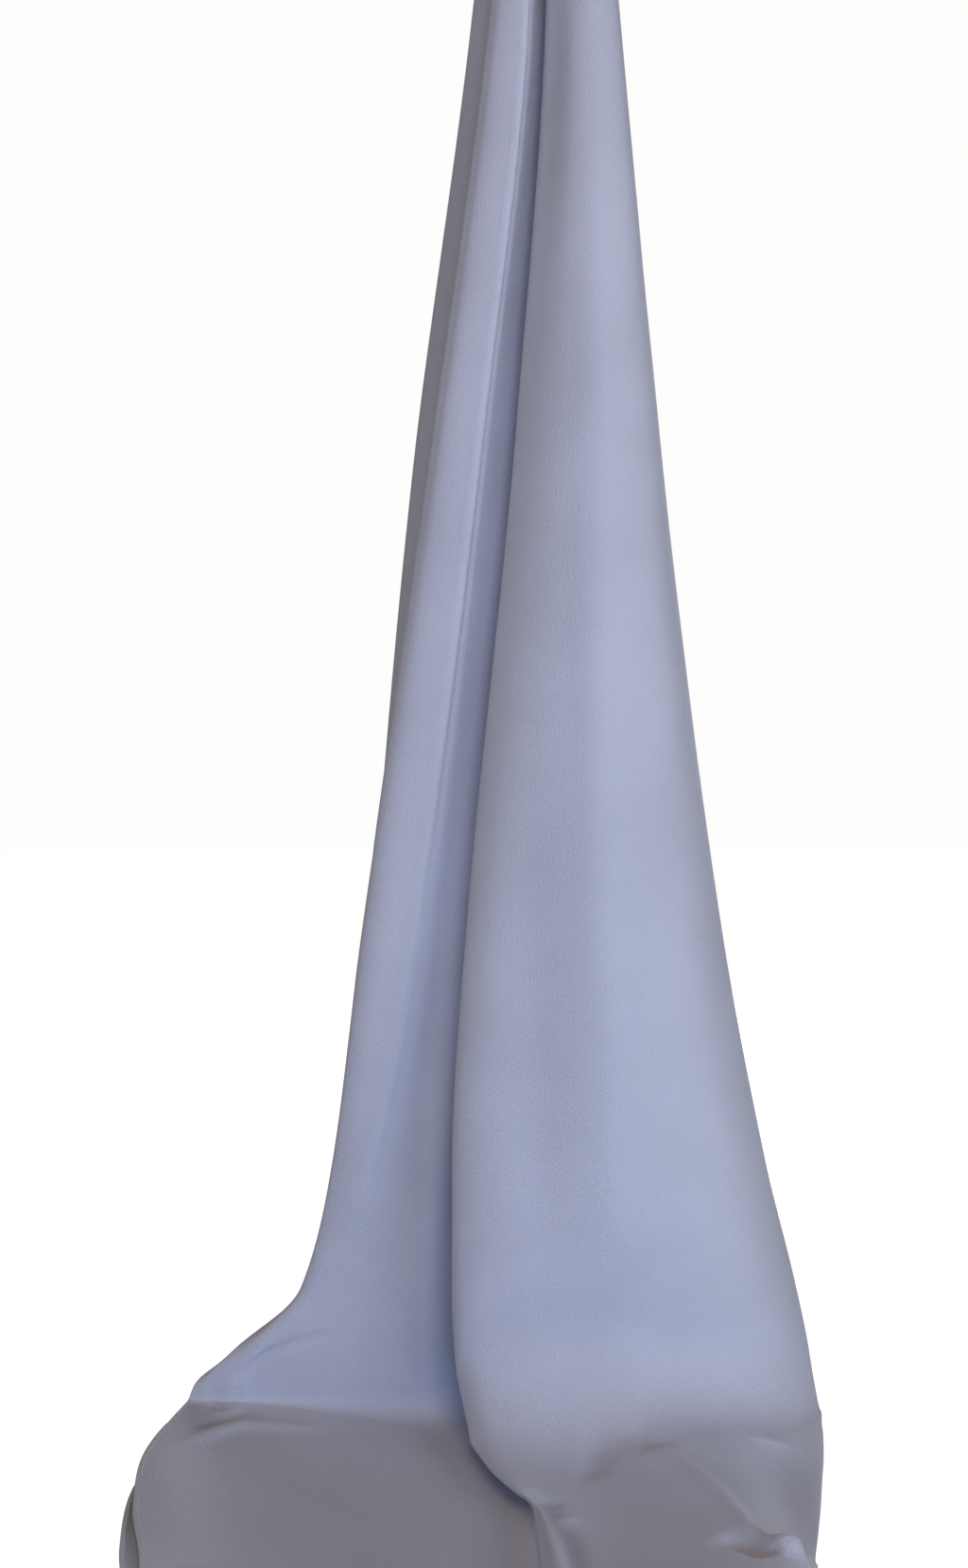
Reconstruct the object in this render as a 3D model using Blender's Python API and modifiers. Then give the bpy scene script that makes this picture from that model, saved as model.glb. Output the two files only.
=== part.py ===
"""A plain rectangular hijab, 1000 x 1800 mm, held up by one gathered short end.

The cloth hangs in long folds, comes down on a flat surface and runs forward along it.
Seen from above it is wrapped in a C: a front layer with the folds, a turn at the right,
and a back layer that returns to the left and lies underneath on the surface.
Metres, +Z up, the front faces -Y. The origin is the point where the gathered end is held.
"""

from collections import namedtuple

import bpy
import numpy as np

MM = 0.001

# Driving dimensions
CLOTH_WIDTH = 1000 * MM
WALL = 1.2 * MM
HOLD_HEIGHT = 1325 * MM  # from the surface that the cloth comes down on to the hold
END_ABOVE_HOLD = 50 * MM  # the gathered end stands this far above the hold
END_FLARE = 1.15  # above the hold the gathered end spreads to this many times its size there

# Narrow hems, folded to the inside of the C and sewn
HEM_WIDTH = 4 * MM
HEM_WALL = 1.5 * MM
SEAM_GAP = 0.3 * MM

COLLECTION_NAME = "hijab"
CLOTH_COLOUR = (0.42, 0.44, 0.55, 1.0)
CLOTH_ROUGHNESS = 0.55

# The tables below place the fold lines at these heights above the surface that the cloth
# comes down on, from the hold down, and then at these distances forward along the surface
HEIGHTS = np.array((1325, 1070, 720, 360, 180, 90, 40, 12, 0)) * MM
DISTANCES = np.array((0, 50, 120, 205, 300, 480)) * MM

# One row for each fold line of the front layer, from its left hem to the turn at the right,
# in millimetres: x and y at the HEIGHTS, the radius of the bend onto the surface,
# x and the height of the cloth's middle at the DISTANCES, y where the line ends at the lower hem,
# and the mesh columns to the next line
FoldLine = namedtuple("FoldLine", "name x y bend x_lying z_lying end_y columns")
FLAT = (3.6,) * len(DISTANCES)
FRONT_LINES = (
    FoldLine(
        "front_hem",
        (-30, -38, -74, -112, -124, -166, -233, -272, -277),
        (14, 44, 52, 48, 44, 30, 16, 13, 12),
        6,
        (-277, -284, -289, -280, -258, -236),
        FLAT,
        -385,
        2,
    ),
    FoldLine(
        "outer_edge",
        (-35, -59, -105, -137, -147, -180, -241, -266, -268),
        (-5, 33, 48, 46, 38, 18, 8, 9, 10),
        6,
        (-268, -275, -279, -270, -249, -228),
        FLAT,
        -390,
        2,
    ),
    FoldLine(
        "notch",
        (-23, -44, -90, -128, -151, -185, -238, -257, -257),
        (2, 4, 4, 6, 14, 8, 4, 7, 9),
        6,
        (-257, -264, -268, -259, -239, -219),
        FLAT,
        -396,
        2,
    ),
    FoldLine(
        "left_fold_edge",
        (-22, -42, -88, -142, -166, -189, -232, -246, -246),
        (-24, -23, -30, -27, -15, -3, 0, 4, 7),
        6,
        (-246, -252, -257, -248, -229, -210),
        FLAT,
        -402,
        2,
    ),
    FoldLine(
        "left_fold_brow",
        (-17, -37, -81, -133, -159, -183, -223, -235, -235),
        (-31, -31, -40, -36, -21, -8, -3, 3, 6),
        6,
        (-235, -240, -244, -236, -218, -200),
        FLAT,
        -408,
        2,
    ),
    FoldLine(
        "crease",
        (-13, -17, -53, -102, -142, -174, -213, -225, -224),
        (-22, -35, -45, -40, -27, -10, -3, 3, 5),
        6,
        (-224, -228, -230, -223, -206, -189),
        FLAT,
        -414,
        3,
    ),
    FoldLine(
        "panel_middle",
        (-9, -11, -44, -87, -114, -133, -149, -156, -156),
        (-12, -22, -32, -36, -28, -20, -15, -12, -11),
        13,
        (-156, -157, -158, -156, -151, -140),
        FLAT,
        -430,
        2,
    ),
    FoldLine(
        "panel_right",
        (-5, -2, -26, -62, -80, -87, -87, -84, -82),
        (-3, -10, -22, -34, -41, -37, -33, -31, -30),
        22,
        (-82, -82, -83, -86, -89, -90),
        FLAT,
        -445,
        2,
    ),
    FoldLine(
        "valley",
        (2, 13, 3, -28, -42, -47, -46, -42, -40),
        (5, 3, -4, -12, -18, -20, -20, -20, -20),
        24,
        (-40, -27, -13, -24, -36, -38),
        (5, 5, 5, 4.5, 4, 3.6),
        -455,
        2,
    ),
    FoldLine(
        "underlap",
        (3, 10, -1, -32, -47, -52, -51, -47, -45),
        (-4, -13, -22, -30, -37, -40, -39, -38, -37),
        28,
        (-45, -33, -16, -18, -20, -12),
        (11, 11, 10.5, 9.5, 7, 4),
        -460,
        2,
    ),
    FoldLine(
        "main_fold_edge",
        (0, -3, -26, -62, -73, -73, -70, -64, -60),
        (-12, -28, -42, -62, -72, -75, -75, -74, -73),
        34,
        (-60, -46, -21, -15, -8, 6),
        (14, 13, 13, 12, 10, 5),
        -472,
        4,
    ),
    FoldLine(
        "main_fold_shoulder",
        (4, 4, -15, -50, -61, -61, -57, -51, -47),
        (-36, -42, -66, -82, -89, -91, -90, -88, -87),
        58,
        (-47, -33, -9, -3, 6, 22),
        (20, 20, 20, 18, 14, 6),
        -482,
        4,
    ),
    FoldLine(
        "main_fold_front_left",
        (9, 15, 8, -2, 2, 6, 9, 14, 16),
        (-10, -52, -84, -103, -107, -104, -101, -99, -98),
        78,
        (16, 20, 26, 36, 48, 62),
        (18, 15, 13, 12, 10, 5),
        -489,
        4,
    ),
    FoldLine(
        "main_fold_crest",
        (15, 28, 36, 46, 58, 66, 68, 68, 68),
        (-40, -56, -90, -107, -109, -106, -103, -101, -100),
        60,
        (68, 84, 101, 122, 120, 108),
        (34, 30, 27, 27, 20, 7),
        -491,
        4,
    ),
    FoldLine(
        "main_fold_front_right",
        (20, 43, 68, 98, 126, 144, 151, 154, 155),
        (-10, -46, -70, -82, -84, -82, -80, -79, -78),
        48,
        (155, 152, 148, 140, 134, 124),
        (26, 22, 20, 18, 15, 12),
        -488,
        6,
    ),
    FoldLine(
        "right_turn",
        (27, 49, 83, 128, 162, 184, 194, 198, 199),
        (-38, -12, -14, -18, -20, -20, -20, -20, -20),
        26,
        (199, 190, 176, 160, 142, 140),
        (11, 11, 11, 10, 8, 6.5),
        -487,
        6,
    ),
)

# The back layer: a row of pleats from the turn back to its own hem at the left.
# Its pleats are as deep as it takes to use up the cloth's width at each height.
BACK_LINES = 14
BACK_FIRST_X = np.array((30, 45, 78, 121, 154, 177, 186, 190, 191)) * MM
BACK_HEM_X = np.array((-24, -26, -60, -90, -112, -135, -148, -152, -152)) * MM
BACK_Y = np.array((40, 54, 64, 68, 66, 63, 61, 60, 60)) * MM
BACK_FIRST_X_LYING = np.array((191, 182, 166, 147, 133, 129)) * MM
BACK_HEM_X_LYING = np.array((-152, -205, -250, -287, -277, -222)) * MM
BACK_END_Y = np.array((-487, -375)) * MM
BACK_BEND = 15 * MM
BACK_DEEPEST_PLEAT = 40 * MM
BACK_COLUMNS = 2
PLEAT_SHARES = (1.0, 0.9, 1.1, 0.8, 1.15, 0.9, 1.05, 0.8, 1.1, 0.9, 1.0, 0.85, 1.1, 0.9)

# Mesh rows: heights above the surface, angles of the bend, shares of the lying stretch
UPPER_ROWS = (1375, 1350, 1325, 1270, 1210, 1145, 1070, 970, 850, 720, 580, 460)
LOWER_ROWS = (360, 270, 200, 145, 100, 65, 38, 16, 0)
ROW_HEIGHTS = np.array(UPPER_ROWS + LOWER_ROWS) * MM
ROW_ANGLES = (30, 60, 90)
ROW_SHARES = (0.06, 0.14, 0.22, 0.31, 0.4, 0.5, 0.62, 0.74, 0.87, 0.96, 1.0)
MEASURING_STEPS = 12  # segments on each leg of a curve when its length is measured
HALVINGS = 24  # steps of the search for a pleat's depth
HEM_COLUMNS = 2


def smooth_through(places, values, at):
    """Monotone cubic curve through values, a row for each place, read at other places."""
    order = np.argsort(places)
    x = np.asarray(places, float)[order]
    y = np.asarray(values, float).reshape(len(x), -1)[order]
    slopes = np.diff(y, axis=0) / np.diff(x)[:, None]
    tangents = np.vstack((slopes[:1], slopes[1:], slopes[-1:]))
    before, after = slopes[:-1], slopes[1:]
    same_way = before * after > 0
    total = np.where(same_way, before + after, 1.0)
    tangents[1:-1] = np.where(same_way, 2 * before * after / total, 0.0)
    i = np.clip(np.searchsorted(x, at) - 1, 0, len(x) - 2)
    h = (x[i + 1] - x[i])[:, None]
    t = (np.clip(at, x[0], x[-1])[:, None] - x[i][:, None]) / h
    return (
        y[i] * (1 + 2 * t) * (1 - t) ** 2
        + y[i + 1] * t**2 * (3 - 2 * t)
        + tangents[i] * h * t * (1 - t) ** 2
        - tangents[i + 1] * h * t**2 * (1 - t)
    )


def curve_through(points, steps):
    """Centripetal Catmull-Rom curve through the points, with steps[i] segments on leg i."""
    ends = np.vstack((2 * points[0] - points[1], points, 2 * points[-1] - points[-2]))
    knots = np.concatenate(([0], np.cumsum(np.sqrt(np.linalg.norm(np.diff(ends, axis=0), axis=1)))))
    made = []
    for leg, count in enumerate(steps):
        p0, p1, p2, p3 = ends[leg : leg + 4]
        k0, k1, k2, k3 = knots[leg : leg + 4]
        k = (k1 + (k2 - k1) * np.arange(count) / count)[:, None]
        a1 = (k1 - k) / (k1 - k0) * p0 + (k - k0) / (k1 - k0) * p1
        a2 = (k2 - k) / (k2 - k1) * p1 + (k - k1) / (k2 - k1) * p2
        a3 = (k3 - k) / (k3 - k2) * p2 + (k - k2) / (k3 - k2) * p3
        b1 = (k2 - k) / (k2 - k0) * a1 + (k - k0) / (k2 - k0) * a2
        b2 = (k3 - k) / (k3 - k1) * a2 + (k - k1) / (k3 - k1) * a3
        made.append((k2 - k) / (k2 - k1) * b1 + (k - k1) / (k2 - k1) * b2)
    made.append(points[-1:])
    return np.vstack(made)


def length_of(points):
    """Length of the line through the points."""
    return float(np.linalg.norm(np.diff(points, axis=0), axis=1).sum())


def back_lines_at(station, pleat):
    """Plan positions of the back layer's fold lines at one of the HEIGHTS, for a pleat half-depth."""
    x = np.linspace(BACK_FIRST_X[station], BACK_HEM_X[station], BACK_LINES)
    outward = np.where(np.arange(BACK_LINES) % 2 == 0, -1.0, 1.0)
    y = BACK_Y[station] + outward * pleat * np.array(PLEAT_SHARES)
    return np.column_stack((x, y))


def plan_at(station):
    """Plan positions of every fold line at one of the HEIGHTS, as long in all as the cloth is wide."""
    front = np.array([(line.x[station], line.y[station]) for line in FRONT_LINES]) * MM
    legs = [MEASURING_STEPS] * (len(front) + BACK_LINES - 1)
    low, high = 0.0, BACK_DEEPEST_PLEAT
    for _ in range(HALVINGS):
        middle = (low + high) / 2
        plan = np.vstack((front, back_lines_at(station, middle)))
        if length_of(curve_through(plan, legs)) < CLOTH_WIDTH:
            low = middle
        else:
            high = middle
    return np.vstack((front, back_lines_at(station, low)))


def hanging_table():
    """Heights and plan positions of every fold line, from the gathered end down to the surface."""
    plans = [plan_at(i) for i in range(len(HEIGHTS))]
    heights = np.concatenate(([HOLD_HEIGHT + END_ABOVE_HOLD], HEIGHTS))
    return heights, np.stack([plans[0] * END_FLARE, *plans])


def lying_tables():
    """x and z of every fold line at the DISTANCES along the surface, and the bend radii."""
    back_x = np.linspace(BACK_FIRST_X_LYING, BACK_HEM_X_LYING, BACK_LINES)
    front_x = np.array([line.x_lying for line in FRONT_LINES]) * MM
    x = np.vstack((front_x, back_x))
    front_z = np.array([line.z_lying for line in FRONT_LINES]) * MM
    back_z = np.full((BACK_LINES, len(DISTANCES)), WALL / 2)
    bends = [line.bend * MM for line in FRONT_LINES] + [BACK_BEND] * BACK_LINES
    return x.T, np.vstack((front_z, back_z)).T, np.array(bends)


def down_to_surface(plan, heights, rest, bend):
    """Points of one fold line from the gathered end down and round its bend onto the surface."""
    top = HOLD_HEIGHT + END_ABOVE_HOLD
    above = ROW_HEIGHTS / top * (top - rest - bend) + bend
    hanging = np.column_stack((smooth_through(heights, plan, above), above + rest))
    angles = np.radians(ROW_ANGLES)
    left = bend * (1 - np.sin(angles))
    turning = np.column_stack((smooth_through(heights, plan, left), left + rest))
    turning[:, 1] -= bend * (1 - np.cos(angles))
    return np.vstack((hanging, turning))


def fold_line_rows():
    """Points of every fold line at every mesh row, as (rows, lines, 3), in the frame of the hold."""
    heights, plans = hanging_table()
    lying_x, lying_z, bends = lying_tables()
    paths = [down_to_surface(plans[:, i], heights, lying_z[0, i], bend) for i, bend in enumerate(bends)]
    front_ends = [line.end_y * MM for line in FRONT_LINES]
    ends = np.concatenate((front_ends, np.linspace(*BACK_END_Y, BACK_LINES)))
    lines = []
    for i, path in enumerate(paths):
        forward = np.array(ROW_SHARES) * (path[-1, 1] - ends[i])
        x = smooth_through(DISTANCES, lying_x[:, i], forward)[:, 0]
        z = smooth_through(DISTANCES, lying_z[:, i], forward)[:, 0]
        lying = np.column_stack((x, path[-1, 1] - forward, z))
        lines.append(np.vstack((path, lying)))
    points = np.stack(lines, axis=1)
    points[..., 2] -= HOLD_HEIGHT
    return points


def along(points, distance):
    """The point at a distance along the line through the points."""
    run = np.concatenate(([0], np.cumsum(np.linalg.norm(np.diff(points, axis=0), axis=1))))
    return np.array([np.interp(distance, run, points[:, k]) for k in range(3)])


def sections():
    """Each mesh row of the whole cloth, hems included and none of it below the surface."""
    steps = [line.columns for line in FRONT_LINES] + [BACK_COLUMNS] * (BACK_LINES - 1)
    rows = np.stack([curve_through(row, steps) for row in fold_line_rows()])
    rows[..., 2] = np.maximum(rows[..., 2], WALL / 2 - HOLD_HEIGHT)
    return rows


def trimmed(rows, margin, moved):
    """Each row shortened by a margin at both ends; only its outer points, moved in number, shift."""
    made = []
    for row in rows:
        run = np.concatenate(([0], np.cumsum(np.linalg.norm(np.diff(row, axis=0), axis=1))))
        first, last = run[moved], run[-1 - moved]
        left = margin + run[:moved] * (first - margin) / first
        right = last + (run[-moved:] - last) * (run[-1] - margin - last) / (run[-1] - last)
        places = np.concatenate((left, run[moved:-moved], right))
        made.append(np.array([along(row, place) for place in places]))
    return np.stack(made)


def thin_strip(grid, start, end, count):
    """A narrow strip across each row of the grid, with count segments."""
    made = []
    for row in grid:
        length = length_of(row)
        first = start if start >= 0 else length + start
        last = end if end > 0 else length + end
        made.append(np.array([along(row, p) for p in np.linspace(first, last, count + 1)]))
    return np.stack(made)


def cloth_material():
    """Smooth, softly shining grey lilac cloth."""
    material = bpy.data.materials.new("cloth")
    material.use_nodes = True
    shader = material.node_tree.nodes["Principled BSDF"]
    shader.inputs["Base Color"].default_value = CLOTH_COLOUR
    shader.inputs["Roughness"].default_value = CLOTH_ROUGHNESS
    shader.inputs["Metallic"].default_value = 0.0
    return material


def walled(name, grid, thickness, offset, collection, material):
    """A named solid: the grid of points as a surface, thickened by Solidify."""
    rows, columns = grid.shape[:2]
    mesh = bpy.data.meshes.new(name)
    faces = [
        (r * columns + c, (r + 1) * columns + c, (r + 1) * columns + c + 1, r * columns + c + 1)
        for r in range(rows - 1)
        for c in range(columns - 1)
    ]
    mesh.from_pydata(grid.reshape(-1, 3).tolist(), [], faces)
    mesh.materials.append(material)
    mesh.shade_smooth()
    made = bpy.data.objects.new(name, mesh)
    collection.objects.link(made)
    wall = made.modifiers.new("wall", "SOLIDIFY")
    wall.thickness = thickness
    wall.offset = offset
    return made


def main():
    for old in list(bpy.data.objects):
        bpy.data.objects.remove(old)
    collection = bpy.data.collections.new(COLLECTION_NAME)
    bpy.context.scene.collection.children.link(collection)
    material = cloth_material()
    whole = sections()
    inner = HEM_WIDTH + SEAM_GAP
    hem_offset = (WALL - HEM_WALL) / HEM_WALL
    narrowed = trimmed(whole, inner, FRONT_LINES[0].columns).transpose(1, 0, 2)
    panel = trimmed(narrowed, inner, 1).transpose(1, 0, 2)
    walled("panel", panel, WALL, 0.0, collection, material)
    sides = {"hem_front_side": (0, HEM_WIDTH), "hem_back_side": (-HEM_WIDTH, 0)}
    for name, (start, end) in sides.items():
        walled(name, thin_strip(whole, start, end, HEM_COLUMNS), HEM_WALL, hem_offset, collection, material)
    ends = {"hem_gathered_end": (0, HEM_WIDTH), "hem_lower_end": (-HEM_WIDTH, 0)}
    for name, (start, end) in ends.items():
        strip = thin_strip(narrowed, start, end, HEM_COLUMNS).transpose(1, 0, 2)
        walled(name, strip, HEM_WALL, hem_offset, collection, material)


main()
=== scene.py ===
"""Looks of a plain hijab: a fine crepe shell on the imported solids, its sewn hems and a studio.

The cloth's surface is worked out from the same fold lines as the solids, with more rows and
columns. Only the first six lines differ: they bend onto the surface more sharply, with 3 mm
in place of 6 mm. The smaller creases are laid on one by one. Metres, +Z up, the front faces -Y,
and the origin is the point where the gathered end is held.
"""

import math
from collections import namedtuple

import bpy
import numpy as np
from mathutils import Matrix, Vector, noise


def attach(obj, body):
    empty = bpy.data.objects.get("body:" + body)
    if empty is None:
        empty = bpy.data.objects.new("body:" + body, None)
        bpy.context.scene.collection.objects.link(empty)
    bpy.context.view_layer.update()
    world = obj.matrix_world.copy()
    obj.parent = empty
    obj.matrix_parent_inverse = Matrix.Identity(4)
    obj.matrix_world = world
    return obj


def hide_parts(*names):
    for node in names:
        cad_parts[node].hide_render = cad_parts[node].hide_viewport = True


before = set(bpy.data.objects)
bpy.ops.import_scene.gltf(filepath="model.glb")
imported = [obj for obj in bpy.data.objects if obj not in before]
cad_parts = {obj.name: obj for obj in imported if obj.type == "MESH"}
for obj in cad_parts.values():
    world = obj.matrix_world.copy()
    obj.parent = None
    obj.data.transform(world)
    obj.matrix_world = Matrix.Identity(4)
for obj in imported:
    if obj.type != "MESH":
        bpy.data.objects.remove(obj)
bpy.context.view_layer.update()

MM = 0.001

# The cloth
CLOTH_WIDTH = 1000 * MM
HOLD_HEIGHT = 1325 * MM  # from the surface that the cloth comes down on to the hold
END_ABOVE_HOLD = 50 * MM
END_FLARE = 1.15
CLOTH_REST = 0.6 * MM  # the lowest that the middle of the cloth lies above the surface

# Heights above the surface, and distances forward along it, at which the fold lines are placed
HEIGHTS = np.array((1325, 1070, 720, 360, 180, 90, 40, 12, 0)) * MM
DISTANCES = np.array((0, 50, 120, 205, 300, 480)) * MM

# One row for each fold line of the front layer, from its left hem to the turn at the right,
# in millimetres: x and y at the HEIGHTS, the radius of the bend onto the surface,
# x and the height of the cloth's middle at the DISTANCES, y where the line ends at the lower hem,
# and the mesh columns to the next line
FoldLine = namedtuple("FoldLine", "name x y bend x_lying z_lying end_y columns")
FLAT = (3.6,) * len(DISTANCES)
FRONT_LINES = (
    FoldLine(
        "front_hem",
        (-30, -38, -74, -112, -124, -166, -233, -272, -277),
        (14, 44, 52, 48, 44, 30, 16, 13, 12),
        3,
        (-277, -284, -289, -280, -258, -236),
        FLAT,
        -385,
        5,
    ),
    FoldLine(
        "outer_edge",
        (-35, -59, -105, -137, -147, -180, -241, -266, -268),
        (-5, 33, 48, 46, 38, 18, 8, 9, 10),
        3,
        (-268, -275, -279, -270, -249, -228),
        FLAT,
        -390,
        6,
    ),
    FoldLine(
        "notch",
        (-23, -44, -90, -128, -151, -185, -238, -257, -257),
        (2, 4, 4, 6, 14, 8, 4, 7, 9),
        3,
        (-257, -264, -268, -259, -239, -219),
        FLAT,
        -396,
        8,
    ),
    FoldLine(
        "left_fold_edge",
        (-22, -42, -88, -142, -166, -189, -232, -246, -246),
        (-24, -23, -30, -27, -15, -3, 0, 4, 7),
        3,
        (-246, -252, -257, -248, -229, -210),
        FLAT,
        -402,
        6,
    ),
    FoldLine(
        "left_fold_brow",
        (-17, -37, -81, -133, -159, -183, -223, -235, -235),
        (-31, -31, -40, -36, -21, -8, -3, 3, 6),
        3,
        (-235, -240, -244, -236, -218, -200),
        FLAT,
        -408,
        8,
    ),
    FoldLine(
        "crease",
        (-13, -17, -53, -102, -142, -174, -213, -225, -224),
        (-22, -35, -45, -40, -27, -10, -3, 3, 5),
        3,
        (-224, -228, -230, -223, -206, -189),
        FLAT,
        -414,
        14,
    ),
    FoldLine(
        "panel_middle",
        (-9, -11, -44, -87, -114, -133, -149, -156, -156),
        (-12, -22, -32, -36, -28, -20, -15, -12, -11),
        13,
        (-156, -157, -158, -156, -151, -140),
        FLAT,
        -430,
        14,
    ),
    FoldLine(
        "panel_right",
        (-5, -2, -26, -62, -80, -87, -87, -84, -82),
        (-3, -10, -22, -34, -41, -37, -33, -31, -30),
        22,
        (-82, -82, -83, -86, -89, -90),
        FLAT,
        -445,
        10,
    ),
    FoldLine(
        "valley",
        (2, 13, 3, -28, -42, -47, -46, -42, -40),
        (5, 3, -4, -12, -18, -20, -20, -20, -20),
        24,
        (-40, -27, -13, -24, -36, -38),
        (5, 5, 5, 4.5, 4, 3.6),
        -455,
        8,
    ),
    FoldLine(
        "underlap",
        (3, 10, -1, -32, -47, -52, -51, -47, -45),
        (-4, -13, -22, -30, -37, -40, -39, -38, -37),
        28,
        (-45, -33, -16, -18, -20, -12),
        (11, 11, 10.5, 9.5, 7, 4),
        -460,
        14,
    ),
    FoldLine(
        "main_fold_edge",
        (0, -3, -26, -62, -73, -73, -70, -64, -60),
        (-12, -28, -42, -62, -72, -75, -75, -74, -73),
        34,
        (-60, -46, -21, -15, -8, 6),
        (14, 13, 13, 12, 10, 5),
        -472,
        14,
    ),
    FoldLine(
        "main_fold_shoulder",
        (4, 4, -15, -50, -61, -61, -57, -51, -47),
        (-36, -42, -66, -82, -89, -91, -90, -88, -87),
        58,
        (-47, -33, -9, -3, 6, 22),
        (20, 20, 20, 18, 14, 6),
        -482,
        15,
    ),
    FoldLine(
        "main_fold_front_left",
        (9, 15, 8, -2, 2, 6, 9, 14, 16),
        (-10, -52, -84, -103, -107, -104, -101, -99, -98),
        78,
        (16, 20, 26, 36, 48, 62),
        (18, 15, 13, 12, 10, 5),
        -489,
        20,
    ),
    FoldLine(
        "main_fold_crest",
        (15, 28, 36, 46, 58, 66, 68, 68, 68),
        (-40, -56, -90, -107, -109, -106, -103, -101, -100),
        60,
        (68, 84, 101, 122, 120, 108),
        (34, 30, 27, 27, 20, 7),
        -491,
        23,
    ),
    FoldLine(
        "main_fold_front_right",
        (20, 43, 68, 98, 126, 144, 151, 154, 155),
        (-10, -46, -70, -82, -84, -82, -80, -79, -78),
        48,
        (155, 152, 148, 140, 134, 124),
        (26, 22, 20, 18, 15, 12),
        -488,
        20,
    ),
    FoldLine(
        "right_turn",
        (27, 49, 83, 128, 162, 184, 194, 198, 199),
        (-38, -12, -14, -18, -20, -20, -20, -20, -20),
        26,
        (199, 190, 176, 160, 142, 140),
        (11, 11, 11, 10, 8, 6.5),
        -487,
        12,
    ),
)

# The back layer: pleats from the turn back to its own hem at the left
BACK_LINES = 14
BACK_FIRST_X = np.array((30, 45, 78, 121, 154, 177, 186, 190, 191)) * MM
BACK_HEM_X = np.array((-24, -26, -60, -90, -112, -135, -148, -152, -152)) * MM
BACK_Y = np.array((40, 54, 64, 68, 66, 63, 61, 60, 60)) * MM
BACK_FIRST_X_LYING = np.array((191, 182, 166, 147, 133, 129)) * MM
BACK_HEM_X_LYING = np.array((-152, -205, -250, -287, -277, -222)) * MM
BACK_END_Y = np.array((-487, -375)) * MM
BACK_BEND = 15 * MM
BACK_DEEPEST_PLEAT = 40 * MM
BACK_COLUMNS = 3
PLEAT_SHARES = (1.0, 0.9, 1.1, 0.8, 1.15, 0.9, 1.05, 0.8, 1.1, 0.9, 1.0, 0.85, 1.1, 0.9)
MEASURING_STEPS = 12
HALVINGS = 24

# Mesh rows
FINE_BELOW = 240 * MM  # rows lie closer together below this height
ROW_STEP = 5 * MM
FINE_ROW_STEP = 3.4 * MM
BEND_ANGLES = np.radians((15, 30, 45, 60, 75, 90))
LYING_ROWS = 104
LYING_CROWDING = 1.15  # above 1, rows crowd towards the bend

# Creases laid on the folds. Each point of a path is a fold line, counted from 0 at the front hem
# and from 16 on the back layer, and a place. A place is the millimetres above the surface.
# Below 0 it first runs round the bend, and then about a millimetre for each one forward.
# Reach is how far the crease spreads to its sides and height how far it stands out, in millimetres.
Crease = namedtuple("Crease", "name path reach height")
CREASES = (
    Crease("strip_gap", ((2.35, 1375), (2.35, 1070), (2.35, 720), (2.35, 420)), 5, -9.0),
    Crease("fold_lip", ((2.95, 1375), (2.95, 1070), (2.95, 720), (2.95, 420)), 4, 2.0),
    Crease("crease_foot", ((5.42, 1375), (5.4, 1070), (5.4, 720), (5.35, 360), (5.3, 160)), 3, -2.2),
    Crease("crease_lip", ((4.9, 1375), (4.9, 1070), (4.9, 720), (4.9, 360), (4.9, 200)), 3, 1.2),
    Crease("left_fold_pinch", ((3.4, 15), (4.4, 30), (5.6, 50)), 3, -4.0),
    Crease("left_landing_notch", ((0.2, -7), (1.6, -12), (3.2, -22)), 4, -4.0),
    Crease("left_landing_trough", ((2.4, -74), (3.4, -46), (5.0, -20)), 7, -5.0),
    Crease("left_landing_ridge", ((2.6, -112), (3.8, -76), (5.9, -42)), 9, 4.0),
    Crease("left_lying_swell", ((0.8, -60), (1.6, -140), (2.2, -240), (2.4, -330)), 26, 4.0),
    Crease("main_edge_hollow", ((11.22, -80), (11.3, -150), (11.36, -230), (11.42, -320)), 9, -7.0),
    Crease("dimple_upper", ((11.35, -84), (11.6, -92)), 6, -2.5),
    Crease("dimple_lower", ((11.5, -112), (11.7, -124)), 6, 2.0),
    Crease("landing_dent", ((11.9, -16), (12.3, -4.6), (12.7, -4.6), (13.1, -18)), 9, -4.0),
    Crease("long_ridge", ((12.9, -10), (13.05, -80), (13.15, -160), (13.2, -240)), 6, 4.0),
    Crease("right_hollow", ((13.9, -20), (13.85, -120), (13.85, -230)), 22, -7.0),
    Crease("dark_pocket", ((12.8, -192), (12.97, -214), (13.05, -236)), 9, -8.0),
    Crease("front_bump", ((13.15, -228), (13.45, -223), (13.8, -229)), 10, 9.0),
    Crease("right_rim", ((14.9, -20), (14.9, -120), (14.9, -260)), 9, 1.5),
    Crease("main_trough", ((11.7, 420), (11.75, 260), (11.8, 110), (11.9, 30)), 22, -3.5),
    Crease("main_light_ridge", ((12.7, 640), (12.7, 360), (12.65, 150), (12.6, 50)), 16, 2.5),
    Crease("back_slant_high", ((19.0, 940), (20.6, 860), (22.2, 800)), 8, 2.5),
    Crease("back_slant_middle", ((24.4, 640), (22.6, 560), (20.8, 500)), 10, -3.0),
    Crease("back_slant_low", ((27.6, 330), (25.8, 270), (24.2, 230)), 8, 3.0),
    Crease("back_ridge_right", ((18.4, 520), (18.6, 300), (18.9, 120)), 9, 2.5),
    Crease("back_hollow_left", ((27.2, 760), (27.0, 520), (26.6, 380)), 9, -2.5),
    Crease("back_landing", ((19.5, 60), (22.0, 34), (25.0, 52)), 6, 2.0),
)
LYING_LENGTH = 450  # places that the lying stretch takes up, whatever its real length
BEND_PLACES = 6  # places 0 to -6 lie on the bend from hanging to lying
CREASE_SAMPLES = 60
CREASE_WINDOW = 24  # rows and columns to each side of a crease that it can move
CREASE_FADING = 0.5  # below 1, a crease keeps more of its height towards its ends
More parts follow.
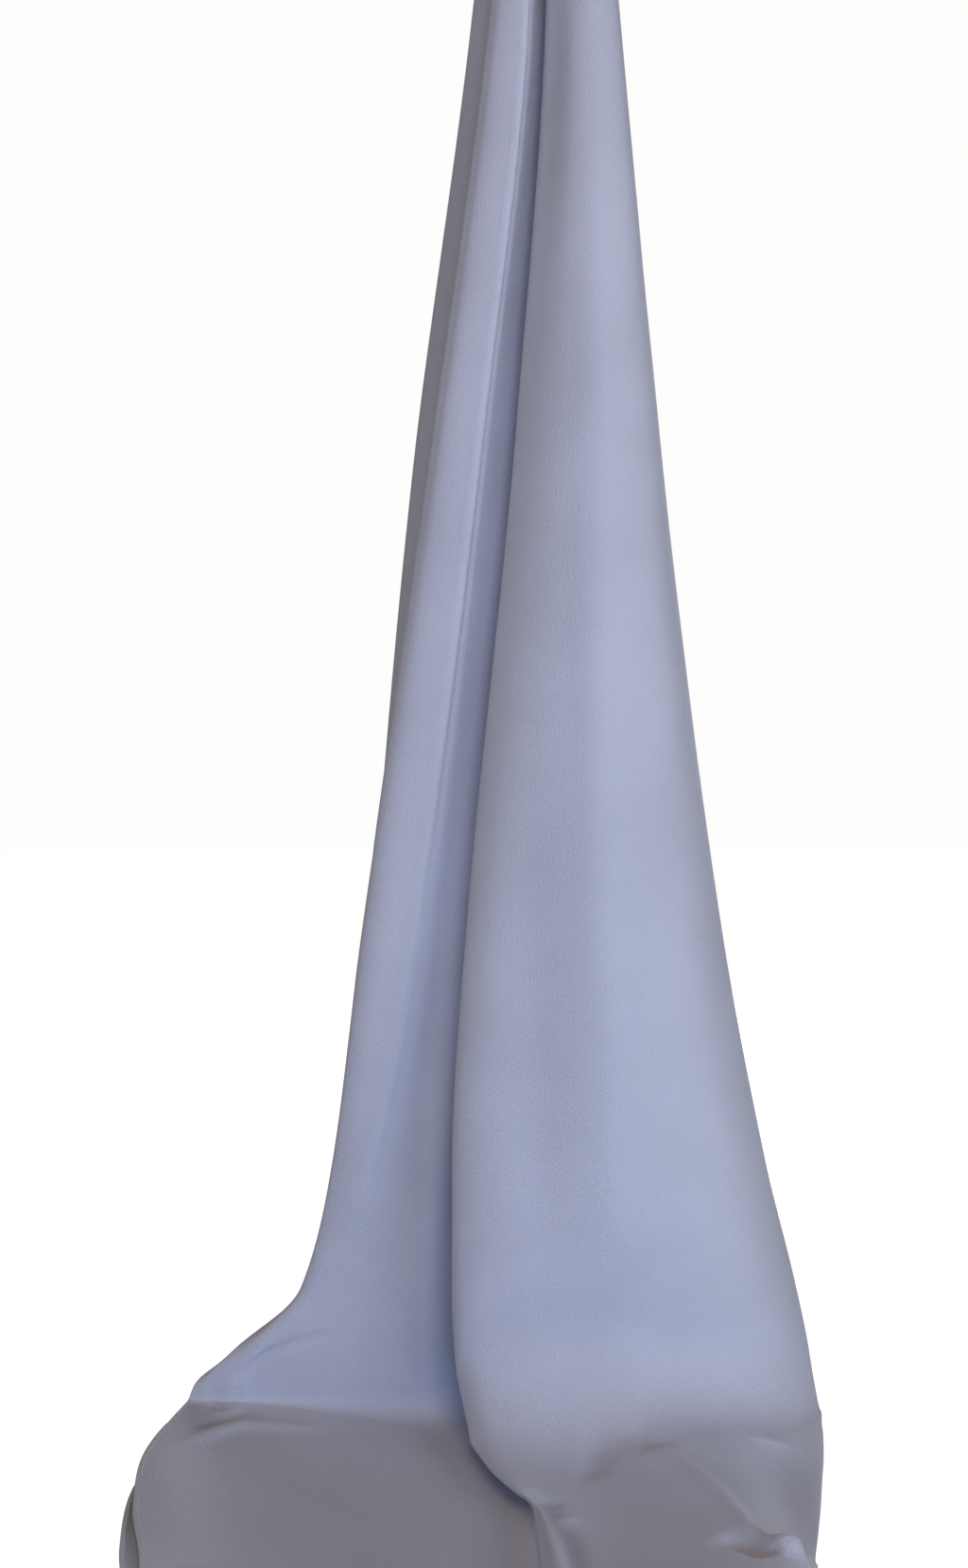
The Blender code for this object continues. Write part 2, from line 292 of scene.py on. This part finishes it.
WAVER = 0.7 * MM  # the slow unevenness of the whole cloth
WAVER_ACROSS = 17.0
WAVER_ALONG = 3.5

# The photograph's camera
IMAGE_SIZE = (1024, 1658)
FOCAL_PIXELS = 1944.4
SENSOR = 36.0
CAMERA_PLACE = (-0.05, -1.40, -0.849)
CAMERA_NEAR = 0.05

# The crepe: its weave, the slow unevenness of its dye and its sheen
CLOTH_COLOUR = (0.40, 0.415, 0.52)
CLOTH_ROUGHNESS = 0.62
CLOTH_SPECULAR = 0.3
WEAVE_STRETCH = (1.0, 0.6, 1.0)  # the weave's pebbles are longer down the cloth than across it
WEAVE_SCALE = 620.0
WEAVE_DETAIL = 2.0
WEAVE_ROUGHNESS = 0.6
WEAVE_SHARE = 0.6  # of the weave in the colour's variation, beside the dye's
WEAVE_BUMP = 0.9
WEAVE_DEPTH = 0.8 * MM
DYE_SCALE = 9.0
DYE_DETAIL = 3.0
TONE_RAMP = ((0.55, 0.94), (1.0, 1.06))  # positions, and how much of the cloth's colour is there
SHEEN_WEIGHT = 0.25
SHEEN_ROUGHNESS = 0.45
SHEEN_TINT = (0.86, 0.9, 1.0)
# The thread is coloured darker than the cloth: the thread is real, but its darkness is painted shade of
# the small shadows at the stitch holes
THREAD_AND_HOLE_SHADE_COLOUR = (0.24, 0.245, 0.3)
THREAD_ROUGHNESS = 0.5

# Lights: a blue window low in front, a paler one at the right, a warm wall at the left, a warm high
# light, a small blue one at the upper left, and one behind for the side the photograph doesn't show
Light = namedtuple("Light", "name place size power colour")
LIGHT_TARGET = (0.0, 0.0, -0.85)
LIGHTS = (
    Light("low_window", (0.3, -3.0, -1.0), (2.4, 0.6), 36, (0.36, 0.6, 1.0)),
    Light("right_window", (2.0, -2.2, -0.8), (1.2, 1.2), 46, (0.95, 0.99, 1.0)),
    Light("left_wall", (-2.8, -0.4, -0.7), (1.2, 1.2), 17, (1.0, 0.83, 0.6)),
    Light("high_light", (0.3, -2.6, 1.0), (1.6, 1.0), 33, (1.0, 0.73, 0.42)),
    Light("top_window", (-0.8, -1.7, -0.1), (0.8, 0.4), 3.5, (0.3, 0.55, 1.0)),
    Light("back_window", (0.4, 2.8, -0.4), (1.6, 1.2), 30, (0.85, 0.92, 1.0)),
)
AMBIENT_COLOUR = (1.0, 0.82, 0.7)
AMBIENT_STRENGTH = 0.03
BACKDROP_COLOUR = (0.985, 0.985, 0.975)
FLOOR_COLOUR = (0.4, 0.4, 0.4)
FLOOR_ROUGHNESS = 0.85
FLOOR_HALF_WIDTH = 12.0

# Folded hems and their stitches. A hem's section has points (distance in from the cloth's edge,
# distance out from its front), in millimetres, and is read over the few columns next to the edge.
HEM_COLUMNS = 6
HEM_SECTION = (
    (4.0, 0.0),
    (3.4, 0.16),
    (2.0, 0.24),
    (0.7, 0.2),
    (0.0, 0.0),
    (-0.2, -0.4),
    (0.0, -0.8),
    (0.8, -1.05),
    (2.2, -1.05),
    (3.5, -0.9),
    (4.0, -0.5),
)
STITCH_LENGTH = 2.1 * MM
STITCH_PITCH = 2.9 * MM
STITCH_RADIUS = 0.17 * MM
STITCH_INSET = 3.3 * MM
STITCH_HEIGHTS = (0.22 * MM, -1.0 * MM)  # of the lines on the front and on the back
STITCH_SIDES = 5
STITCH_RINGS = ((-0.5, 0.3), (-0.25, 1.0), (0.25, 1.0), (0.5, 0.3))  # shares of length and of radius
STITCH_FLATNESS = 0.8


def smooth_through(places, values, at):
    """Monotone cubic curve through values, a row for each place, read at other places."""
    order = np.argsort(places)
    x = np.asarray(places, float)[order]
    y = np.asarray(values, float).reshape(len(x), -1)[order]
    slopes = np.diff(y, axis=0) / np.diff(x)[:, None]
    tangents = np.vstack((slopes[:1], slopes[1:], slopes[-1:]))
    before, after = slopes[:-1], slopes[1:]
    same_way = before * after > 0
    total = np.where(same_way, before + after, 1.0)
    tangents[1:-1] = np.where(same_way, 2 * before * after / total, 0.0)
    i = np.clip(np.searchsorted(x, at) - 1, 0, len(x) - 2)
    h = (x[i + 1] - x[i])[:, None]
    t = (np.clip(at, x[0], x[-1])[:, None] - x[i][:, None]) / h
    return (
        y[i] * (1 + 2 * t) * (1 - t) ** 2
        + y[i + 1] * t**2 * (3 - 2 * t)
        + tangents[i] * h * t * (1 - t) ** 2
        - tangents[i + 1] * h * t**2 * (1 - t)
    )


def curves_through(points, steps):
    """Centripetal Catmull-Rom curves through each row of points, with steps[i] segments on leg i."""
    first = 2 * points[:, :1] - points[:, 1:2]
    last = 2 * points[:, -1:] - points[:, -2:-1]
    ends = np.concatenate((first, points, last), axis=1)
    gaps = np.sqrt(np.linalg.norm(np.diff(ends, axis=1), axis=2))
    knots = np.concatenate((np.zeros((len(points), 1)), np.cumsum(gaps, axis=1)), axis=1)
    made = []
    for leg, count in enumerate(steps):
        p0, p1, p2, p3 = (ends[:, leg + i, None, :] for i in range(4))
        k0, k1, k2, k3 = (knots[:, leg + i, None, None] for i in range(4))
        k = k1 + (k2 - k1) * (np.arange(count) / count)[None, :, None]
        a1 = (k1 - k) / (k1 - k0) * p0 + (k - k0) / (k1 - k0) * p1
        a2 = (k2 - k) / (k2 - k1) * p1 + (k - k1) / (k2 - k1) * p2
        a3 = (k3 - k) / (k3 - k2) * p2 + (k - k2) / (k3 - k2) * p3
        b1 = (k2 - k) / (k2 - k0) * a1 + (k - k0) / (k2 - k0) * a2
        b2 = (k3 - k) / (k3 - k1) * a2 + (k - k1) / (k3 - k1) * a3
        made.append((k2 - k) / (k2 - k1) * b1 + (k - k1) / (k2 - k1) * b2)
    made.append(points[:, -1:])
    return np.concatenate(made, axis=1)


def length_of(points):
    """Length of the line through the points."""
    return float(np.linalg.norm(np.diff(points, axis=0), axis=1).sum())


def back_lines_at(station, pleat):
    """Plan positions of the back layer's fold lines at one of the HEIGHTS, for a pleat half-depth."""
    x = np.linspace(BACK_FIRST_X[station], BACK_HEM_X[station], BACK_LINES)
    outward = np.where(np.arange(BACK_LINES) % 2 == 0, -1.0, 1.0)
    y = BACK_Y[station] + outward * pleat * np.array(PLEAT_SHARES)
    return np.column_stack((x, y))


def plan_at(station):
    """Plan positions of every fold line at one of the HEIGHTS, as long in all as the cloth is wide."""
    front = np.array([(line.x[station], line.y[station]) for line in FRONT_LINES]) * MM
    legs = [MEASURING_STEPS] * (len(front) + BACK_LINES - 1)
    low, high = 0.0, BACK_DEEPEST_PLEAT
    for _ in range(HALVINGS):
        middle = (low + high) / 2
        plan = np.vstack((front, back_lines_at(station, middle)))
        if length_of(curves_through(plan[None], legs)[0]) < CLOTH_WIDTH:
            low = middle
        else:
            high = middle
    return np.vstack((front, back_lines_at(station, low)))


def row_heights():
    """Heights of the hanging rows, from the gathered end down."""
    top = HOLD_HEIGHT + END_ABOVE_HOLD
    coarse = np.linspace(top, FINE_BELOW, round((top - FINE_BELOW) / ROW_STEP) + 1)
    fine = np.linspace(FINE_BELOW, 0, round(FINE_BELOW / FINE_ROW_STEP) + 1)
    return np.concatenate((coarse, fine[1:]))


def down_to_surface(plan, heights, rest, bend):
    """Points of one fold line from the gathered end down and round its bend onto the surface."""
    top = HOLD_HEIGHT + END_ABOVE_HOLD
    above = row_heights() / top * (top - rest - bend) + bend
    hanging = np.column_stack((smooth_through(heights, plan, above), above + rest))
    left = bend * (1 - np.sin(BEND_ANGLES))
    turning = np.column_stack((smooth_through(heights, plan, left), left + rest))
    turning[:, 1] -= bend * (1 - np.cos(BEND_ANGLES))
    return np.vstack((hanging, turning))


def lying_shares():
    """How far along the lying stretch each of its rows is, from above 0 to 1."""
    return (np.arange(1, LYING_ROWS + 1) / LYING_ROWS) ** LYING_CROWDING


def columns_per_leg():
    """Mesh columns from each fold line to the next."""
    return [line.columns for line in FRONT_LINES] + [BACK_COLUMNS] * (BACK_LINES - 1)


def fold_line_rows():
    """Points of every fold line at every mesh row, as (rows, lines, 3)."""
    plans = [plan_at(i) for i in range(len(HEIGHTS))]
    heights = np.concatenate(([HOLD_HEIGHT + END_ABOVE_HOLD], HEIGHTS))
    plans = np.stack([plans[0] * END_FLARE, *plans])
    back_x = np.linspace(BACK_FIRST_X_LYING, BACK_HEM_X_LYING, BACK_LINES)
    lying_x = np.vstack((np.array([line.x_lying for line in FRONT_LINES]) * MM, back_x)).T
    back_z = np.full((BACK_LINES, len(DISTANCES)), CLOTH_REST)
    lying_z = np.vstack((np.array([line.z_lying for line in FRONT_LINES]) * MM, back_z)).T
    bends = [line.bend * MM for line in FRONT_LINES] + [BACK_BEND] * BACK_LINES
    front_ends = [line.end_y * MM for line in FRONT_LINES]
    ends = np.concatenate((front_ends, np.linspace(*BACK_END_Y, BACK_LINES)))
    shares = lying_shares()
    lines = []
    for i, bend in enumerate(bends):
        path = down_to_surface(plans[:, i], heights, lying_z[0, i], bend)
        forward = shares * (path[-1, 1] - ends[i])
        x = smooth_through(DISTANCES, lying_x[:, i], forward)[:, 0]
        z = smooth_through(DISTANCES, lying_z[:, i], forward)[:, 0]
        lines.append(np.vstack((path, np.column_stack((x, path[-1, 1] - forward, z)))))
    points = np.stack(lines, axis=1)
    points[..., 2] -= HOLD_HEIGHT
    return points


def normals_of(grid):
    """Unit normals of a grid of points, out of the front of the cloth."""
    down = np.gradient(grid, axis=0)
    across = np.gradient(grid, axis=1)
    normal = np.cross(down, across)
    return normal / np.linalg.norm(normal, axis=2, keepdims=True)


def cloth_grid():
    """The whole cloth as a grid of points, its edges included."""
    grid = curves_through(fold_line_rows(), columns_per_leg())
    grid[..., 2] = np.maximum(grid[..., 2], CLOTH_REST - HOLD_HEIGHT)
    return grid


def row_places():
    """Each row's place: its height in millimetres when it hangs, and below 0 on the bend and beyond."""
    bend = -BEND_PLACES * np.arange(1, len(BEND_ANGLES) + 1) / len(BEND_ANGLES)
    return np.concatenate((row_heights() / MM, bend, -BEND_PLACES - lying_shares() * LYING_LENGTH))


def grid_point(grid, row, column):
    """The grid read between its rows and columns."""
    r = int(np.clip(row, 0, grid.shape[0] - 1.001))
    c = int(np.clip(column, 0, grid.shape[1] - 1.001))
    t, s = row - r, column - c
    top = grid[r, c] * (1 - s) + grid[r, c + 1] * s
    bottom = grid[r + 1, c] * (1 - s) + grid[r + 1, c + 1] * s
    return top * (1 - t) + bottom * t


def crease_line(crease, grid):
    """Rows, columns and points of a crease's middle line."""
    first_columns = np.concatenate(([0], np.cumsum(columns_per_leg())))
    places = row_places()
    lines = np.array([p[0] for p in crease.path])
    heights = np.array([p[1] for p in crease.path], float)
    columns = np.interp(lines, np.arange(len(first_columns)), first_columns)
    rows = np.interp(-heights, -places, np.arange(len(places)))
    knots = np.column_stack((rows, columns))
    run = np.concatenate(([0], np.cumsum(np.linalg.norm(np.diff(knots, axis=0), axis=1))))
    at = np.linspace(0, run[-1], CREASE_SAMPLES)
    if len(knots) > 2:
        path = smooth_through(run, knots, at)
    else:
        path = np.column_stack([np.interp(at, run, knots[:, k]) for k in range(2)])
    return path, np.array([grid_point(grid, r, c) for r, c in path])


def creased(grid, normals):
    """The grid with every crease laid on it, each fading out towards its ends."""
    offset = np.zeros(grid.shape[:2])
    for crease in CREASES:
        path, line = crease_line(crease, grid)
        reach = crease.reach * MM
        low = np.maximum(np.floor(path.min(0)).astype(int) - CREASE_WINDOW, 0)
        high = np.ceil(path.max(0)).astype(int) + CREASE_WINDOW + 1
        window = grid[low[0] : high[0], low[1] : high[1]]
        near = np.full(window.shape[:2], np.inf)
        fade = np.zeros(window.shape[:2])
        for i, (a, b) in enumerate(zip(line[:-1], line[1:])):
            leg = b - a
            t = np.clip(((window - a) @ leg) / (leg @ leg), 0, 1)
            gap = np.linalg.norm(window - a - t[..., None] * leg, axis=2)
            closer = gap < near
            near = np.where(closer, gap, near)
            share = (i + t) / (CREASE_SAMPLES - 1)
            fade = np.where(closer, np.sin(np.pi * share) ** CREASE_FADING, fade)
        shape = np.exp(-((near / reach) ** 2)) * fade * crease.height * MM
        offset[low[0] : high[0], low[1] : high[1]] += shape
    return grid + normals * offset[..., None]


def wavering(grid, normals, uv):
    """The grid moved in and out a little by a slow noise, longer down the cloth than across it."""
    flat = uv.reshape(-1, 2)
    shift = [noise.noise(Vector((u * WAVER_ACROSS, v * WAVER_ALONG, 0.0))) for u, v in flat]
    return grid + normals * np.array(shift).reshape(grid.shape[:2])[..., None] * WAVER


def run_along(grid, axis):
    """Distance from the first point along each line of the grid in the direction of the axis."""
    steps = np.linalg.norm(np.diff(grid, axis=axis), axis=2)
    return np.insert(np.cumsum(steps, axis=axis), 0, 0.0, axis=axis)


def mesh_piece(name, grid, closed, material, uv):
    """A named mesh of a grid of points, closed round its second axis or open, with metric UVs."""
    rows, columns = grid.shape[:2]
    width = columns if closed else columns - 1
    r, c = np.meshgrid(np.arange(rows - 1), np.arange(width), indexing="ij")
    r, c = r.ravel(), c.ravel()
    right = (c + 1) % columns
    above, below = r * columns, (r + 1) * columns
    faces = np.column_stack((above + c, below + c, below + right, above + right))
    mesh = bpy.data.meshes.new(name)
    mesh.from_pydata(grid.reshape(-1, 3).tolist(), [], faces.tolist())
    layer = mesh.uv_layers.new(name="cloth")
    layer.data.foreach_set("uv", uv.reshape(-1, 2)[faces.ravel()].astype(np.float32).ravel())
    mesh.materials.append(material)
    mesh.shade_smooth()
    made = bpy.data.objects.new(name, mesh)
    bpy.context.scene.collection.objects.link(made)
    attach(made, "root")
    return made


def socket(node, name, value):
    """Set the value of one of a node's inputs."""
    node.inputs[name].default_value = value


def crepe_material(name, colour):
    """Fine crepe: a pebbled weave, a faint unevenness of the dye and a soft sheen."""
    material = bpy.data.materials.new(name)
    material.use_nodes = True
    nodes, links = material.node_tree.nodes, material.node_tree.links
    shader = nodes["Principled BSDF"]
    place = nodes.new("ShaderNodeTexCoord")
    stretch = nodes.new("ShaderNodeMapping")
    socket(stretch, "Scale", WEAVE_STRETCH)
    links.new(place.outputs["UV"], stretch.inputs["Vector"])
    weave = nodes.new("ShaderNodeTexNoise")
    socket(weave, "Scale", WEAVE_SCALE)
    socket(weave, "Detail", WEAVE_DETAIL)
    socket(weave, "Roughness", WEAVE_ROUGHNESS)
    links.new(stretch.outputs["Vector"], weave.inputs["Vector"])
    dye = nodes.new("ShaderNodeTexNoise")
    socket(dye, "Scale", DYE_SCALE)
    socket(dye, "Detail", DYE_DETAIL)
    links.new(place.outputs["UV"], dye.inputs["Vector"])
    both = nodes.new("ShaderNodeMath")
    both.operation = "MULTIPLY_ADD"
    both.inputs[1].default_value = WEAVE_SHARE
    links.new(weave.outputs["Fac"], both.inputs[0])
    links.new(dye.outputs["Fac"], both.inputs[2])
    tone = nodes.new("ShaderNodeValToRGB")
    for stop, (position, share) in zip(tone.color_ramp.elements, TONE_RAMP):
        stop.position = position
        stop.color = (*[c * share for c in colour], 1.0)
    links.new(both.outputs[0], tone.inputs["Fac"])
    links.new(tone.outputs["Color"], shader.inputs["Base Color"])
    bump = nodes.new("ShaderNodeBump")
    socket(bump, "Strength", WEAVE_BUMP)
    socket(bump, "Distance", WEAVE_DEPTH)
    links.new(weave.outputs["Fac"], bump.inputs["Height"])
    links.new(bump.outputs["Normal"], shader.inputs["Normal"])
    socket(shader, "Roughness", CLOTH_ROUGHNESS)
    socket(shader, "Specular IOR Level", CLOTH_SPECULAR)
    socket(shader, "Sheen Weight", SHEEN_WEIGHT)
    socket(shader, "Sheen Roughness", SHEEN_ROUGHNESS)
    socket(shader, "Sheen Tint", (*SHEEN_TINT, 1.0))
    return material


def plain_material(name, colour, roughness):
    """One colour and roughness all over."""
    material = bpy.data.materials.new(name)
    material.use_nodes = True
    shader = material.node_tree.nodes["Principled BSDF"]
    socket(shader, "Base Color", (*colour, 1.0))
    socket(shader, "Roughness", roughness)
    return material


def edge_rows(grid, side):
    """The grid turned so that its first column is one of the cloth's four edges."""
    turned = {
        "front_side": grid,
        "back_side": grid[:, ::-1],
        "gathered_end": grid.transpose(1, 0, 2),
        "lower_end": grid[::-1].transpose(1, 0, 2),
    }
    return turned[side]


def at_inset(rows, inset):
    """The point of each row at a distance in from its first point; a distance below 0 lies outside."""
    run = run_along(rows[:, :HEM_COLUMNS], 1)
    made = np.empty((len(rows), 3))
    for i, (row, places) in enumerate(zip(rows, run)):
        if inset < 0:
            made[i] = row[0] + (row[0] - row[1]) / places[1] * -inset
        else:
            made[i] = [np.interp(inset, places, row[:HEM_COLUMNS, k]) for k in range(3)]
    return made


def hem_piece(side, grid, normals, uv, material):
    """The cloth turned over twice along one edge, on the inner side."""
    rows, out = edge_rows(grid, side), edge_rows(normals, side)
    places = edge_rows(uv, side)[:, 0]
    inward = edge_rows(uv, side)[:, 1] - places
    inward /= np.linalg.norm(inward, axis=1, keepdims=True)
    section = np.stack([at_inset(rows, t * MM) + out[:, 0] * n * MM for t, n in HEM_SECTION], axis=1)
    section_uv = np.stack([places + inward * t * MM for t, _ in HEM_SECTION], axis=1)
    # Turning the grid mirrored these two, so their sections run the other way round
    if side in ("back_side", "gathered_end"):
        section, section_uv = section[:, ::-1], section_uv[:, ::-1]
    made = mesh_piece("sewn_hem_" + side, section, True, material, section_uv)
    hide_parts("hem_" + side)
    return made


def stitch_rings(line, out, run, centre):
    """The rings of points of one stitch, from its first end to its last."""
    stations = centre + np.array([station for station, _ in STITCH_RINGS]) * STITCH_LENGTH
    spine = np.column_stack([np.interp(stations, run, line[:, k]) for k in range(3)])
    up = np.array([np.interp(centre, run, out[:, k]) for k in range(3)])
    ahead = spine[-1] - spine[0]
    side_way = np.cross(ahead / np.linalg.norm(ahead), up)
    points = []
    for point, (_, swell) in zip(spine, STITCH_RINGS):
        for angle in np.linspace(0, 2 * math.pi, STITCH_SIDES, endpoint=False):
            spread = side_way * math.cos(angle) + up * STITCH_FLATNESS * math.sin(angle)
            points.append(point + STITCH_RADIUS * swell * spread)
    return points


def stitch_faces(start):
    """Faces of one stitch, whose first point has the number start."""
    faces = []
    last_ring = len(STITCH_RINGS) - 1
    for ring in range(last_ring):
        for i in range(STITCH_SIDES):
            j = (i + 1) % STITCH_SIDES
            near, far = start + ring * STITCH_SIDES, start + (ring + 1) * STITCH_SIDES
            faces.append((near + i, near + j, far + j, far + i))
    faces.append(tuple(range(start + STITCH_SIDES - 1, start - 1, -1)))
    faces.append(tuple(start + last_ring * STITCH_SIDES + i for i in range(STITCH_SIDES)))
    return faces


def stitches(side, grid, normals, material):
    """One line of machine stitches along an edge, on both faces of the cloth."""
    rows, out = edge_rows(grid, side), edge_rows(normals, side)[:, 0]
    middle = at_inset(rows, STITCH_INSET)
    vertices, faces = [], []
    for height in STITCH_HEIGHTS:
        line = middle + out * height
        run = run_along(line[None], 1)[0]
        for centre in np.arange(STITCH_PITCH, run[-1] - STITCH_PITCH, STITCH_PITCH):
            faces.extend(stitch_faces(len(vertices)))
            vertices.extend(stitch_rings(line, out, run, centre))
    name = "stitches_" + side
    mesh = bpy.data.meshes.new(name)
    mesh.from_pydata([tuple(v) for v in vertices], [], faces)
    mesh.materials.append(material)
    mesh.shade_smooth()
    made = bpy.data.objects.new(name, mesh)
    bpy.context.scene.collection.objects.link(made)
    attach(made, "root")
    return made


def area_light(made_as):
    """A soft rectangular light that points at the middle of the hanging cloth."""
    data = bpy.data.lights.new(made_as.name, "AREA")
    data.shape = "RECTANGLE"
    data.size, data.size_y = made_as.size
    data.energy = made_as.power
    data.color = made_as.colour
    light = bpy.data.objects.new(made_as.name, data)
    light.location = made_as.place
    aim = Vector(LIGHT_TARGET) - Vector(made_as.place)
    light.rotation_euler = aim.to_track_quat("-Z", "Y").to_euler()
    bpy.context.scene.collection.objects.link(light)


def pale_floor():
    """The floor, which the camera sees as white as the photograph's surface."""
    mesh = bpy.data.meshes.new("floor")
    half, z = FLOOR_HALF_WIDTH, -HOLD_HEIGHT
    corners = [(-half, -half, z), (half, -half, z), (half, half, z), (-half, half, z)]
    mesh.from_pydata(corners, [], [(0, 1, 2, 3)])
    pale = plain_material("pale_floor", FLOOR_COLOUR, FLOOR_ROUGHNESS)
    nodes, links = pale.node_tree.nodes, pale.node_tree.links
    shader = nodes["Principled BSDF"]
    socket(shader, "Emission Color", (*BACKDROP_COLOUR, 1.0))
    seen = nodes.new("ShaderNodeLightPath")
    links.new(seen.outputs["Is Camera Ray"], shader.inputs["Emission Strength"])
    mesh.materials.append(pale)
    floor = bpy.data.objects.new("floor", mesh)
    bpy.context.scene.collection.objects.link(floor)


def ambient_world():
    """A faint warm light from all round, behind a backdrop that only the camera sees."""
    world = bpy.data.worlds.new("studio")
    bpy.context.scene.world = world
    world.use_nodes = True
    nodes, links = world.node_tree.nodes, world.node_tree.links
    ambient = nodes["Background"]
    socket(ambient, "Color", (*AMBIENT_COLOUR, 1.0))
    socket(ambient, "Strength", AMBIENT_STRENGTH)
    backdrop = nodes.new("ShaderNodeBackground")
    socket(backdrop, "Color", (*BACKDROP_COLOUR, 1.0))
    seen = nodes.new("ShaderNodeLightPath")
    either = nodes.new("ShaderNodeMixShader")
    links.new(seen.outputs["Is Camera Ray"], either.inputs["Fac"])
    links.new(ambient.outputs["Background"], either.inputs[1])
    links.new(backdrop.outputs["Background"], either.inputs[2])
    links.new(either.outputs["Shader"], nodes["World Output"].inputs["Surface"])


def photo_camera():
    """The photograph's camera, level and looking straight along +Y."""
    data = bpy.data.cameras.new("photo_camera")
    data.sensor_width = SENSOR
    data.lens = SENSOR * FOCAL_PIXELS / max(IMAGE_SIZE)
    data.clip_start = CAMERA_NEAR
    camera = bpy.data.objects.new("photo_camera", data)
    camera.location = CAMERA_PLACE
    camera.rotation_euler = (math.pi / 2, 0, 0)
    bpy.context.scene.collection.objects.link(camera)
    bpy.context.scene.camera = camera


def studio():
    """A plain pale floor, soft lights and the photograph's camera."""
    pale_floor()
    ambient_world()
    for light in LIGHTS:
        area_light(light)
    bpy.context.scene.view_settings.view_transform = "Standard"
    photo_camera()


def main():
    """Make the cloth, its hems and stitches, and the studio round them."""
    crepe = crepe_material("crepe", CLOTH_COLOUR)
    # the stitches' material carries painted shade: its dark colour stands for the shadows at the stitch
    # holes
    shaded_thread = plain_material("shaded_thread", THREAD_AND_HOLE_SHADE_COLOUR, THREAD_ROUGHNESS)
    grid = cloth_grid()
    uv = np.stack((run_along(grid, 1), run_along(grid, 0)), axis=2)
    grid = wavering(grid, normals_of(grid), uv)
    grid = creased(grid, normals_of(grid))
    grid[..., 2] = np.maximum(grid[..., 2], CLOTH_REST - HOLD_HEIGHT)
    normals = normals_of(grid)
    cloth = mesh_piece("crepe_panel", grid, False, crepe, uv)
    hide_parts("panel")
    for side in ("front_side", "back_side", "gathered_end", "lower_end"):
        hem_piece(side, grid, normals, uv, crepe)
        stitches(side, grid, normals, shaded_thread)
    studio()


main()
